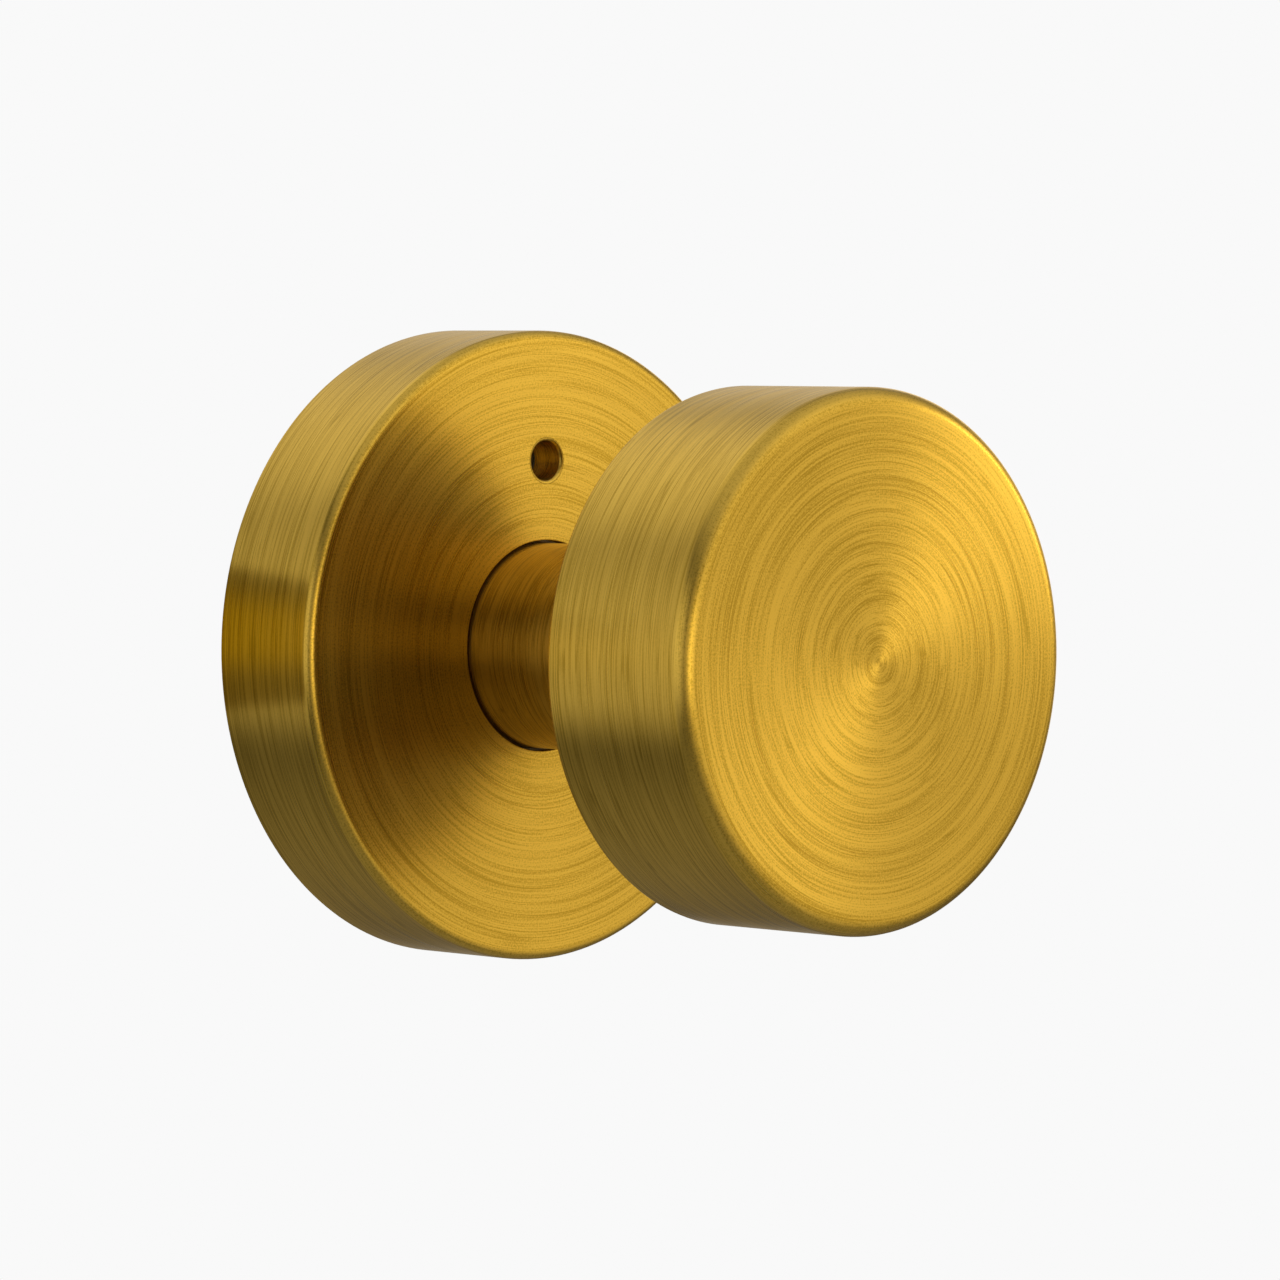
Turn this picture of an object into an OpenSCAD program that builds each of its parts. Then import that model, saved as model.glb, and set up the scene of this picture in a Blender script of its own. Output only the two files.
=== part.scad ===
// Door knob, outside half of a bedroom or bathroom set: a flat disc knob on a round rose, with the
// emergency release hole above the neck. The knob turns both ways against two arc springs, and a
// sprung pin behind the hole is pushed in to release the lock on the other side of the door.
//
// Millimetres. The door face is the XZ plane, the knob stands out along -Y, and +Z is up.
// The origin is where the spindle's axis meets the door face.

/* [Rose] */
// Diameter of the rose
rose_d = 65; // [64:0.5:70]
// Height of the rose off the door
rose_h = 13.4; // [13.4:0.1:16]
// Sheet thickness of the rose
rose_wall = 1.2; // [1:0.1:1.2]
// Radius of the rose's front edge
rose_edge_r = 1; // [0.6:0.1:1.2]

/* [Knob] */
// Diameter of the knob
knob_d = 54; // [50:0.5:58]
// Thickness of the knob
knob_t = 19; // [17:0.5:24]
// Distance from the door to the knob's front
knob_reach = 61; // [58:0.5:70]
// Wall thickness of the knob's shell
knob_wall = 1.5; // [1.2:0.1:1.8]
// Radius of the knob's front edge
knob_edge_r = 1.8; // [1:0.1:2.4]
// Diameter of the neck
neck_d = 21.2; // [20.8:0.1:21.4]

/* [Release hole] */
// Bore of the release hole
release_d = 4.05; // [3.8:0.05:4.2]
// Height of the release hole above the axis
release_up = 19.1; // [19:0.1:19.4]
// Travel of the release pin
release_travel = 3; // [2:0.5:3]

/* [Fixing] */
// Distance between the through-bolts
post_spacing = 38; // [38:0.5:39]
// Length of the bolt posts behind the rose
post_len = 9.5; // [8:0.5:12]
// Hole for an M4 thread in the posts
tap_d = 3.3; // [3.2:0.1:3.4]
// Side of the square spindle
spindle_side = 8; // [7.6:0.1:8]
// Length of the spindle behind the rose
spindle_behind = 24; // [20:1:40]

/* [Return springs] */
// Turns in each arc spring
spring_turns = 12; // [9:1:14]
// Wire diameter of the arc springs
spring_wire_d = 0.9; // [0.7:0.1:0.9]

/* [Hidden] */

$fn = 96;
eps = 0.01;          // overlap that keeps a cut from ending on a face
run_gap = 0.05;      // radial clearance of a running fit
ease = 0.05;         // gap between pieces that are pressed or clipped together
up = 90;             // 12 o'clock, as an angle round the axis
down = 270;          // 6 o'clock

brass = [0.83, 0.64, 0.22];
zinc = [0.62, 0.62, 0.64];
steel = [0.72, 0.73, 0.75];
spring_steel = [0.35, 0.35, 0.38];
nylon = [0.92, 0.91, 0.86];

// Rose and base plate
rose_r = rose_d / 2;
rose_inner_r = rose_r - rose_wall;
rose_roof = rose_h - rose_wall;          // underside of the rose's front
neck_r = neck_d / 2;
neck_gap = 0.3;                          // gap round the neck in the rose
plate_r = rose_inner_r - 0.2;
plate_t = 3;
rim_h = 7;                               // top of the plate's rim
rim_t = 2.4;
post_r = 3.5;
post_seat = 0.5;                         // depth that the posts are let into the plate
post_shank_r = 2.6;                      // of the end that is pressed into the plate
post_depth = 2.4;
groove_z = 4.6;                          // height of the snap ring
snap_wire_r = 0.6;
snap_r = plate_r - 0.15;                 // centreline of the snap ring

// Bearing and axial stack, from the door outwards
recess_r = 12.3;                         // recess behind the plate for the circlip
recess_h = 2.2;
shank_r = 8;
shank_end = 0.15;
clip_z = 0.7;
clip_t = 1;
clip_groove_r = 7.35;
washer_t = 0.38;
bush_r = shank_r + 1.6;
flange_r = 11.6;
boss_r = 12.8;
boss_h = 4.5;
bush_top = 5.2;
cam_z = 5.4;
cam_top = 8.5;
cam_r = 13;
cam_flats = 13.4;                        // across the shank's two flats
sleeve_z = 9;                            // inner end of the neck's sleeve
neck_wall = 1.2;

// Spring channel
spring_r = 16.3;                         // arc that the springs lie on
coil_r = 2.2;                            // of the wire's centreline
spring_z = 5.85;
lug_half = 7;                            // half of the cam lug's angle, in degrees
stop_angle = 147;                        // of the fixed stops from 6 o'clock
stop_width = 6;
channel_half = stop_angle + stop_width + 1;
channel_r = 19.35;
channel_wall = 1.5;
channel_top = 8.3;
lug_r = 18.9;
lug_z = 4.5;
lug_t = 3.1;

// Cage over the springs
cage_z = 8.6;
cage_t = 1.2;
cage_r = 27.2;
cage_screw_r = 24;
cage_screw_at = [45, 135, 225, 315];
cage_boss_r = 3;
cage_screw_shank_r = 1;
cage_screw_head_r = 2.1;
cage_screw_len = 6;
collar_r = 14;
collar_top = 11.6;
front_bush_r = 12.6;
front_bush_top = 12.1;

// Release pin
guide_r = 4.2;
guide_bore_r = 3.1;
guide_top = 9.4;
guide_roof = 0.5;
guide_mouth_r = 2.35;
bush_z = 9.5;                            // inner end of the release hole's bush
bush_out_r = 2.4;
bush_lip = 0.35;
pin_rod_r = 1.25;
pin_tip_r = 1.0;                         // of the length behind the rose
pin_head_r = 1.9;
pin_behind = 10;                         // length of the pin behind the rose
pin_flange_r = 2.9;
release_closed = 2.3;                    // room for the release spring when it is closed
pin_flange_z = plate_t + release_closed + release_travel;
pin_face = 9.3;

// Knob
knob_r = knob_d / 2;
knob_back = knob_reach - knob_t;
knob_inner_r = knob_r - knob_wall;
knob_roof = knob_reach - knob_wall;
back_plate_t = 1.5;
back_inset = 0.15;
shank_flange_z = knob_back + back_inset + back_plate_t + ease;
shank_flange_t = 2.6;
shank_flange_r = 17;
core_z = shank_flange_z + shank_flange_t;
nose_r = shank_r + 1.4;                  // of the shank's nose in the knob's core
nose_len = 3.8;
core_hub_r = 12.5;
core_rim_t = 1.8;
spoke_t = 2.4;
spokes = 6;
core_screw_r = 13.8;
core_screw_at = [90, 210, 330];
core_screw_shank_r = 1.2;
core_screw_head_r = 2.5;
core_screw_len = 7.5;
set_screw_z = (rose_h + knob_back) / 2;
set_screw_r = 2.45;

// Turns the design frame, whose +Z is the knob's axis, so that the axis points along -Y.
module on_door() { rotate([90, 0, 0]) children(); }

module disc(r, z0, z1) { translate([0, 0, z0]) cylinder(r = r, h = z1 - z0); }

module ring(r_out, r_in, z0, z1) {
    difference() {
        disc(r_out, z0, z1);
        disc(r_in, z0 - 1, z1 + 1);
    }
}

// Part of a ring, from angle a0 to a1 round the axis.
module arc_block(r_in, r_out, a0, a1, z0, z1) {
    rotate([0, 0, a0]) rotate_extrude(angle = a1 - a0)
        translate([r_in, z0]) square([r_out - r_in, z1 - z0]);
}

// A disc whose top edge is rounded.
module round_edged(r, z0, z1, edge) {
    rotate_extrude() {
        translate([0, z0]) square([r - edge, z1 - z0]);
        translate([0, z0]) square([r, z1 - z0 - edge]);
        translate([r - edge, z1 - edge]) circle(r = edge);
    }
}

// A drawn cup, open at z0, with a rounded edge at z1.
module cup(r, z0, z1, wall, edge) {
    difference() {
        round_edged(r, z0, z1, edge);
        round_edged(r - wall, z0 - 1, z1 - wall, max(edge - wall, 0.3));
    }
}

module at_angle(r, a) { rotate([0, 0, a]) translate([r, 0, 0]) children(); }

module square_bar(side, z0, z1) {
    translate([-side / 2, -side / 2, z0]) cube([side, side, z1 - z0]);
}

// Countersunk screw, with its flat head's face at z = 0 and its shank going to -len.
module countersunk_screw(shank_r, head_r, len) {
    head_h = head_r - shank_r;
    slot = head_r * 0.3;
    difference() {
        union() {
            translate([0, 0, -head_h]) cylinder(r1 = shank_r, r2 = head_r, h = head_h);
            translate([0, 0, -len]) cylinder(r = shank_r, h = len - head_h + eps);
        }
        for (a = [0, 90]) rotate([0, 0, a])
            translate([-head_r * 0.6, -slot / 2, -head_h * 0.7]) cube([head_r * 1.2, slot, head_h]);
    }
}

// The hole that such a screw's head lies in, a little larger all round.
module countersink(shank_r, head_r, depth) {
    head_h = head_r - shank_r;
    translate([0, 0, -head_h]) cylinder(r1 = shank_r + 0.1, r2 = head_r + 0.1, h = head_h);
    translate([0, 0, -eps]) cylinder(r = head_r + 0.1, h = 1);
    translate([0, 0, -depth]) cylinder(r = shank_r + 0.1, h = depth);
}

// The groove that the snap ring lies in, half in the base plate and half in the rose.
module snap_groove() {
    rotate_extrude() translate([snap_r, groove_z]) circle(r = snap_wire_r + ease);
}

// Wire of radius wire_r along frames [centre, normal, binormal].
module wire(frames, wire_r, sides = 7) {
    n = len(frames);
    points = [
        for (f = frames, k = [0 : sides - 1])
            f[0] + wire_r * (cos(360 * k / sides) * f[1] + sin(360 * k / sides) * f[2])
    ];
    skin = [
        for (i = [0 : n - 2], k = [0 : sides - 1])
            let (a = i * sides + k, b = i * sides + (k + 1) % sides)
            each [[a, a + sides, b], [b, a + sides, b + sides]]
    ];
    first = [for (k = [0 : sides - 1]) k];
    last = [for (k = [sides - 1 : -1 : 0]) (n - 1) * sides + k];
    polyhedron(points = points, faces = concat(skin, [first, last]));
}

function unit(v) = v / norm(v);

// Share of a spring's length reached at share t of its wire, with the end turns closed up.
function closed_ends(t, turns, closed) =
    let (lead = 0.9 / turns)
    t < lead ? closed * t / lead
    : t > 1 - lead ? 1 - closed * (1 - t) / lead
    : closed + (1 - 2 * closed) * (t - lead) / (1 - 2 * lead);

// Frames of a coil whose axis is an arc round the knob's axis, from angle a0 to a1.
function arc_coil(a0, a1, turns, steps = 14) =
    let (
        arc_len = abs(a1 - a0) * PI / 180 * spring_r,
        closed = spring_wire_d * 1.1 / arc_len,
        turn = sign(a1 - a0)
    )
    [
        for (i = [0 : turns * steps])
            let (
                t = i / (turns * steps),
                wind = 360 * turns * t,
                a = a0 + (a1 - a0) * closed_ends(t, turns, closed),
                radial = [cos(a), sin(a), 0],
                along = turn * [-sin(a), cos(a), 0],
                normal = cos(wind) * radial + sin(wind) * [0, 0, 1],
                round_coil = -sin(wind) * radial + cos(wind) * [0, 0, 1],
                pitch = arc_len / (2 * PI * turns * coil_r),
                tangent = unit(round_coil + pitch * along)
            )
            [spring_r * radial + [0, 0, spring_z] + coil_r * normal, normal, cross(tangent, normal)]
    ];

// Frames of a straight coil along z.
function straight_coil(r, z0, z1, turns, closed, steps = 14) =
    [
        for (i = [0 : turns * steps])
            let (
                t = i / (turns * steps),
                wind = 360 * turns * t,
                normal = [cos(wind), sin(wind), 0],
                tangent = unit([-sin(wind), cos(wind), (z1 - z0) / (2 * PI * turns * r)])
            )
            [r * normal + [0, 0, z0 + (z1 - z0) * closed_ends(t, turns, closed)],
             normal, cross(tangent, normal)]
    ];

// Fixed pieces

module base_plate() {
    ribs = 12;
    rib_w = 1.4;
    rib_h = 2.6;
    stop_in_r = 14;
    color(zinc) difference() {
        union() {
            disc(plate_r, 0, plate_t);
            ring(plate_r, plate_r - rim_t, plate_t - eps, rim_h);
            disc(boss_r, plate_t - eps, boss_h);
            arc_block(channel_r, channel_r + channel_wall, down - channel_half,
                      down + channel_half, plate_t - eps, channel_top);
            for (side = [-1, 1])
                rotate([0, 0, down + side * (stop_angle + stop_width / 2)])
                    arc_block(stop_in_r, channel_r + 0.5, -stop_width / 2, stop_width / 2,
                              plate_t - eps, channel_top - 0.1);
            for (a = cage_screw_at) at_angle(cage_screw_r, a)
                disc(cage_boss_r, plate_t - eps, cage_z);
            for (i = [0 : ribs - 1])
                if (i != ribs / 4) rotate([0, 0, i * 360 / ribs])
                    translate([channel_r + 0.8, -rib_w / 2, plate_t - eps])
                        cube([plate_r - channel_r - 2, rib_w, rib_h]);
        }
        disc(bush_r, -1, boss_h + 1);
        disc(recess_r, -1, recess_h);
        for (side = [-1, 1]) translate([side * post_spacing / 2, 0, 0]) {
            disc(post_shank_r + ease, -1, post_depth + ease);
            disc(post_r + 0.15, -1, post_seat);
        }
        translate([0, release_up, 0]) disc(pin_rod_r + 0.1, -1, plate_t + 1);
        for (a = cage_screw_at) at_angle(cage_screw_r, a)
            disc(cage_screw_shank_r + ease, plate_t - 1, cage_z + 1);
        snap_groove();
    }
}

module rose_cover() {
    color(brass) difference() {
        cup(rose_r, 0, rose_h, rose_wall, rose_edge_r);
        disc(neck_r + neck_gap, rose_roof - 1, rose_h + 1);
        translate([0, release_up, 0]) disc(bush_out_r + 0.01, rose_roof - 1, rose_h + 1);
        snap_groove();
    }
}

module rose_snap_ring() {
    gap_angle = 26;
    color(spring_steel) rotate([0, 0, down + gap_angle / 2])
        rotate_extrude(angle = 360 - gap_angle) translate([snap_r, groove_z]) circle(r = snap_wire_r);
}

// Liner of the release hole. Its rounded lip is flush with the rose.
module release_bush() {
    bore_r = release_d / 2;
    shoulder_r = 3.3;
    color(brass) translate([0, release_up, 0]) rotate_extrude() {
        translate([bore_r, bush_z]) square([bush_out_r - bore_r, rose_h - bush_lip - bush_z]);
        translate([bore_r, rose_roof - 1]) square([shoulder_r - bore_r, 1 - ease]);
        intersection() {
            translate([bore_r + bush_lip, rose_h - bush_lip]) circle(r = bush_lip);
            translate([bore_r, rose_h - 2 * bush_lip]) square([bush_out_r - bore_r, 2 * bush_lip]);
        }
    }
}

module release_guide() {
    color(nylon) translate([0, release_up, 0]) difference() {
        union() {
            disc(guide_r, plate_t, guide_top);
            disc(guide_r + 1, plate_t, plate_t + 1);
        }
        disc(guide_bore_r, plate_t - 1, guide_top - guide_roof);
        disc(guide_mouth_r, plate_t, guide_top + 1);
    }
}

module rear_bush() {
    color(nylon) difference() {
        union() {
            disc(bush_r - ease, recess_h, boss_h + eps);
            disc(flange_r, boss_h, bush_top);
        }
        disc(shank_r + run_gap, 0, 10);
    }
}

module front_bush() {
    color(nylon) difference() {
        union() {
            disc(front_bush_r - ease, cage_z + 0.1, front_bush_top);
            disc(collar_r, collar_top + ease, front_bush_top);
        }
        disc(neck_r + run_gap, 0, 20);
    }
}

module cage_cover() {
    windows = 3;             // on each side of 6 o'clock
    window_at = 26;          // of the first window's middle, in degrees from 6 o'clock
    window_pitch = 36;
    window_half = 12;
    window_in_r = 15;
    window_out_r = 18;
    color(steel) difference() {
        union() {
            disc(cage_r, cage_z, cage_z + cage_t);
            disc(collar_r, cage_z, collar_top);
        }
        disc(front_bush_r, cage_z - 1, 20);
        translate([0, release_up, 0]) disc(guide_r + 0.3, cage_z - 1, 20);
        for (a = cage_screw_at) at_angle(cage_screw_r, a)
            translate([0, 0, cage_z + cage_t])
                countersink(cage_screw_shank_r, cage_screw_head_r, cage_t + 1);
        for (side = [-1, 1], k = [0 : windows - 1])
            rotate([0, 0, down + side * (window_at + k * window_pitch)])
                arc_block(window_in_r, window_out_r, -window_half, window_half,
                          cage_z - 1, cage_z + 3);
    }
}

module cage_screws() {
    color(steel) for (a = cage_screw_at) at_angle(cage_screw_r, a)
        translate([0, 0, cage_z + cage_t])
            countersunk_screw(cage_screw_shank_r, cage_screw_head_r, cage_screw_len);
}

module bolt_posts() {
    color(steel) for (side = [-1, 1]) translate([side * post_spacing / 2, 0, 0])
        difference() {
            union() {
                disc(post_r, -post_len, post_seat);
                disc(post_shank_r, 0, post_depth);
            }
            disc(tap_d / 2, -post_len - 1, 1.5);
        }
}

module arc_spring(side) {
    margin = 1.8;
    color(spring_steel) wire(
        arc_coil(down + side * (lug_half + margin), down + side * (stop_angle - margin), spring_turns),
        spring_wire_d / 2);
}

module spring_left() { arc_spring(-1); }

module spring_right() { arc_spring(1); }

// Pieces that turn with the knob

module knob_shell() {
    heel = 0.3;
    color(brass) difference() {
        cup(knob_r, knob_back, knob_reach, knob_wall, knob_edge_r);
        rotate_extrude() polygon([
            [knob_r - heel, knob_back - eps], [knob_r + 1, knob_back - eps],
            [knob_r + 1, knob_back + heel + 1], [knob_r + eps, knob_back + heel]
        ]);
    }
}

module knob_back_plate() {
    color(brass) ring(knob_inner_r - ease, neck_r + ease, knob_back + back_inset,
                      knob_back + back_inset + back_plate_t);
}

module knob_core() {
    rim_r = knob_inner_r - ease;
    core_top = knob_roof - ease;
    web_r = shank_flange_r + 1.5;
    web_t = 2.2;
    screw_boss_r = 2.6;
    screw_boss_h = 7;
    color(zinc) difference() {
        union() {
            disc(web_r, core_z, core_z + web_t);
            disc(core_hub_r, core_z, core_top);
            ring(rim_r, rim_r - core_rim_t, core_z, core_top - 1);
            for (i = [0 : spokes - 1]) rotate([0, 0, i * 360 / spokes])
                translate([core_hub_r - 1, -spoke_t / 2, core_z])
                    cube([rim_r - core_hub_r, spoke_t, core_top - core_z - 2]);
            for (a = core_screw_at) at_angle(core_screw_r, a)
                disc(screw_boss_r, core_z, core_z + screw_boss_h);
        }
        disc(nose_r, core_z - 1, core_z + nose_len + 0.2);
        for (a = core_screw_at) at_angle(core_screw_r, a)
            disc(core_screw_shank_r + ease, core_z - 1, core_z + screw_boss_h - 1);
    }
}

module core_screws() {
    color(steel) for (a = core_screw_at) at_angle(core_screw_r, a)
        translate([0, 0, shank_flange_z]) mirror([0, 0, 1])
            countersunk_screw(core_screw_shank_r, core_screw_head_r, core_screw_len);
}

module neck_sleeve() {
    color(brass) difference() {
        ring(neck_r, neck_r - neck_wall, sleeve_z, shank_flange_z);
        translate([0, 0, set_screw_z]) rotate([90, 0, 0]) cylinder(r = set_screw_r + 0.25, h = 20);
    }
}

module neck_shank() {
    core_r = neck_r - neck_wall - ease;
    socket = spindle_side + 0.12;
    color(zinc) difference() {
        union() {
            disc(shank_r, shank_end, cam_top + eps);
            disc(neck_r, cam_top, sleeve_z);
            disc(core_r, sleeve_z - eps, shank_flange_z + eps);
            disc(shank_flange_r, shank_flange_z, core_z);
            disc(nose_r - ease, core_z - eps, core_z + nose_len);
        }
        square_bar(socket, shank_end - 1, core_z + 1);
        ring(shank_r + 1, clip_groove_r, clip_z - 0.02, clip_z + clip_t + 0.02);
        for (side = [-1, 1]) translate([side * (cam_flats / 2 + 2), 0, (cam_z + cam_top) / 2])
            cube([4, 2 * shank_r, cam_top - cam_z], center = true);
        translate([0, 0, set_screw_z]) rotate([90, 0, 0]) cylinder(r = set_screw_r + ease, h = 20);
        for (a = core_screw_at) at_angle(core_screw_r, a)
            translate([0, 0, shank_flange_z]) mirror([0, 0, 1])
                countersink(core_screw_shank_r, core_screw_head_r, shank_flange_t + 1);
    }
}

module spindle() {
    chamfer = 0.8;
    color(steel) intersection() {
        square_bar(spindle_side, -spindle_behind, core_z + 0.8);
        union() {
            translate([0, 0, -spindle_behind]) cylinder(r1 = spindle_side / 2, r2 = spindle_side, h = 4 * chamfer);
            disc(spindle_side, 4 * chamfer - spindle_behind - eps, core_z + 1);
        }
    }
}

module set_screw() {
    length = 5.2;
    hex_r = 1.45;
    hex_depth = 2.2;
    top = spindle_side / 2 + 0.1;
    color(spring_steel) translate([0, -top, set_screw_z]) rotate([90, 0, 0]) difference() {
        cylinder(r = set_screw_r, h = length);
        translate([0, 0, length - hex_depth]) cylinder(r = hex_r, h = hex_depth + 1, $fn = 6);
    }
}

module spring_cam() {
    color(steel) difference() {
        union() {
            disc(cam_r, cam_z, cam_top - 0.01);
            arc_block(cam_r - 0.1, lug_r, down - lug_half, down + lug_half, lug_z, lug_z + lug_t);
        }
        intersection() {
            disc(shank_r + ease, cam_z - 2, cam_top + 2);
            cube([cam_flats + 2 * ease, 40, 40], center = true);
        }
    }
}

module circlip() {
    eye_r = 1.5;
    eye_hole_r = 0.65;
    eye_at = 10.3;
    gap_half = 13;
    color(spring_steel) difference() {
        union() {
            arc_block(clip_groove_r + ease, 9.6, up + gap_half, up + 360 - gap_half, clip_z, clip_z + clip_t);
            for (side = [-1, 1]) at_angle(eye_at, up + side * (gap_half + 2))
                disc(eye_r, clip_z, clip_z + clip_t);
        }
        for (side = [-1, 1]) at_angle(eye_at, up + side * (gap_half + 2))
            disc(eye_hole_r, clip_z - 1, clip_z + clip_t + 1);
    }
}

module thrust_washer() {
    z = clip_z + clip_t + 0.02;
    color(steel) ring(recess_r - 0.5, shank_r + ease, z, z + washer_t);
}

// Pieces that slide with the release pin

module release_pin() {
    point = 0.5;
    flange_t = 0.55;
    color(steel) translate([0, release_up, 0]) {
        disc(pin_rod_r, -point, pin_flange_z + eps);
        disc(pin_tip_r, point - pin_behind, 0);
        translate([0, 0, -pin_behind]) cylinder(r1 = pin_tip_r - point, r2 = pin_tip_r, h = point + eps);
        disc(pin_flange_r, pin_flange_z, pin_flange_z + flange_t);
        round_edged(pin_head_r, pin_flange_z + flange_t - 0.05, pin_face, 0.25);
    }
}

module release_spring() {
    wire_r = 0.25;
    coil_r = 2.15;
    turns = 4;
    color(spring_steel) translate([0, release_up, 0]) wire(
        straight_coil(coil_r, plate_t + wire_r + 0.02, pin_flange_z - wire_r - 0.02, turns, 0.1), wire_r);
}

on_door() base_plate();
on_door() rose_cover();
on_door() rose_snap_ring();
on_door() release_bush();
on_door() release_guide();
on_door() rear_bush();
on_door() front_bush();
on_door() cage_cover();
on_door() cage_screws();
on_door() bolt_posts();
on_door() spring_left();
on_door() spring_right();
on_door() knob_shell();
on_door() knob_back_plate();
on_door() knob_core();
on_door() core_screws();
on_door() neck_sleeve();
on_door() neck_shank();
on_door() spindle();
on_door() set_screw();
on_door() spring_cam();
on_door() circlip();
on_door() thrust_washer();
on_door() release_pin();
on_door() release_spring();
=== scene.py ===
"""A satin brass door knob on a round rose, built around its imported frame.

Every length is in metres. The knob turns about the Y axis and stands out from the door along -Y,
so a turned piece's outline is a list of (radius, y) points.
"""

import math

import bpy
from bpy.props import FloatProperty, FloatVectorProperty, PointerProperty
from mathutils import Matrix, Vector


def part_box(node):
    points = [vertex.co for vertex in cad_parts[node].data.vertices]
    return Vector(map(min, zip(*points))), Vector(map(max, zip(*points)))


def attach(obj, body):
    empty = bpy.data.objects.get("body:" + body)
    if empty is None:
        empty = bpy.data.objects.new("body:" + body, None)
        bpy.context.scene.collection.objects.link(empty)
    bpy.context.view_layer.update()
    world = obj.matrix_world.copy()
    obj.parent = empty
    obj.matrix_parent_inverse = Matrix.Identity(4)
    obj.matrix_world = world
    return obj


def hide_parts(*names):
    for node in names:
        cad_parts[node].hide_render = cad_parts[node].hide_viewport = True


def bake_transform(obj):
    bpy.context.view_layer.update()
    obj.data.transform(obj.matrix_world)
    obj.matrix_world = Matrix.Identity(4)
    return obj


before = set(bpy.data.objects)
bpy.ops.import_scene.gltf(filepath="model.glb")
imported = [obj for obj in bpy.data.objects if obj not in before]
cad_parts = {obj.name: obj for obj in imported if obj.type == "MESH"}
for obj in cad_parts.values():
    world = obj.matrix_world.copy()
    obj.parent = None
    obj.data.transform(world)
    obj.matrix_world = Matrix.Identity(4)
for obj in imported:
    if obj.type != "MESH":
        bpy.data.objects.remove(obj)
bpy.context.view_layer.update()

bl_info = {
    "name": "Door knob",
    "version": (1, 0, 0),
    "blender": (4, 5, 0),
    "location": "3D View > Sidebar > Door knob",
    "description": "Builds a satin brass door knob, its rose and the mechanism inside",
    "category": "Add Mesh",
}

MM = 0.001
SIDES = 192                 # round a large turned piece
SMALL_SIDES = 64            # round a screw, post or pin
SAME = 1e-6                 # points closer than this are one point
SHARP = 35                  # degrees, from which an edge of a CAD copy is eased
SOFT = 0.08 * MM            # width of the chamfer on nylon and spring steel
WARM = (1.0, 0.91, 0.62)    # light colours
PLAIN = (1.0, 1.0, 1.0)


def low(node):
    """A CAD node's lowest corner."""
    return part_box(node)[0]


def high(node):
    """A CAD node's highest corner."""
    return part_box(node)[1]


def middle(node):
    """The middle of a CAD node's box."""
    return (low(node) + high(node)) / 2


# Sizes, finish and studio


class KnobSizes(bpy.types.PropertyGroup):
    """Sizes that the CAD boxes don't give."""

    rose_wall: FloatProperty(
        name="Rose wall", description="Sheet thickness of the rose",
        default=1.2 * MM, unit="LENGTH", subtype="DISTANCE")
    rose_edge: FloatProperty(
        name="Rose edge", description="Radius of the rose's front edge",
        default=1.0 * MM, unit="LENGTH", subtype="DISTANCE")
    neck_gap: FloatProperty(
        name="Neck gap", description="Gap between the neck and the rose",
        default=0.3 * MM, unit="LENGTH", subtype="DISTANCE")
    knob_wall: FloatProperty(
        name="Knob wall", description="Wall thickness of the knob",
        default=1.5 * MM, unit="LENGTH", subtype="DISTANCE")
    knob_edge: FloatProperty(
        name="Knob edge", description="Radius of the knob's front edge",
        default=1.8 * MM, unit="LENGTH", subtype="DISTANCE")
    knob_heel: FloatProperty(
        name="Knob heel", description="Radius of the knob's rear edge",
        default=0.5 * MM, unit="LENGTH", subtype="DISTANCE")
    neck_wall: FloatProperty(
        name="Neck wall", description="Wall thickness of the neck's sleeve",
        default=1.2 * MM, unit="LENGTH", subtype="DISTANCE")
    release_bore: FloatProperty(
        name="Release bore", description="Radius of the release hole",
        default=2.025 * MM, unit="LENGTH", subtype="DISTANCE")
    lip: FloatProperty(
        name="Release lip", description="Radius of the release hole's rounded lip",
        default=0.35 * MM, unit="LENGTH", subtype="DISTANCE")
    eased_edge: FloatProperty(
        name="Eased edge", description="Width of the small chamfer on machined edges",
        default=0.12 * MM, unit="LENGTH", subtype="DISTANCE")


class KnobFinish(bpy.types.PropertyGroup):
    """The brass and its brushing."""

    bright: FloatVectorProperty(
        name="Bright brass", description="Colour on the crests of the brushing",
        default=(1.0, 0.64, 0.10), size=3, min=0, max=1, subtype="COLOR")
    dull: FloatVectorProperty(
        name="Dull brass", description="Colour in the furrows of the brushing",
        default=(0.62, 0.38, 0.04), size=3, min=0, max=1, subtype="COLOR")
    evenness: FloatProperty(
        name="Evenness", description="How much of the surface is bright brass",
        default=0.68, min=0, max=1, subtype="FACTOR")
    roughness: FloatProperty(
        name="Roughness", description="Mean roughness of the brushed brass",
        default=0.30, min=0, max=1, subtype="FACTOR")
    anisotropy: FloatProperty(
        name="Anisotropy", description="How much the brushing stretches highlights",
        default=0.75, min=0, max=1, subtype="FACTOR")
    relief: FloatProperty(
        name="Relief", description="Depth of the brushed lines",
        default=0.012 * MM, unit="LENGTH", subtype="DISTANCE")


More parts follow.
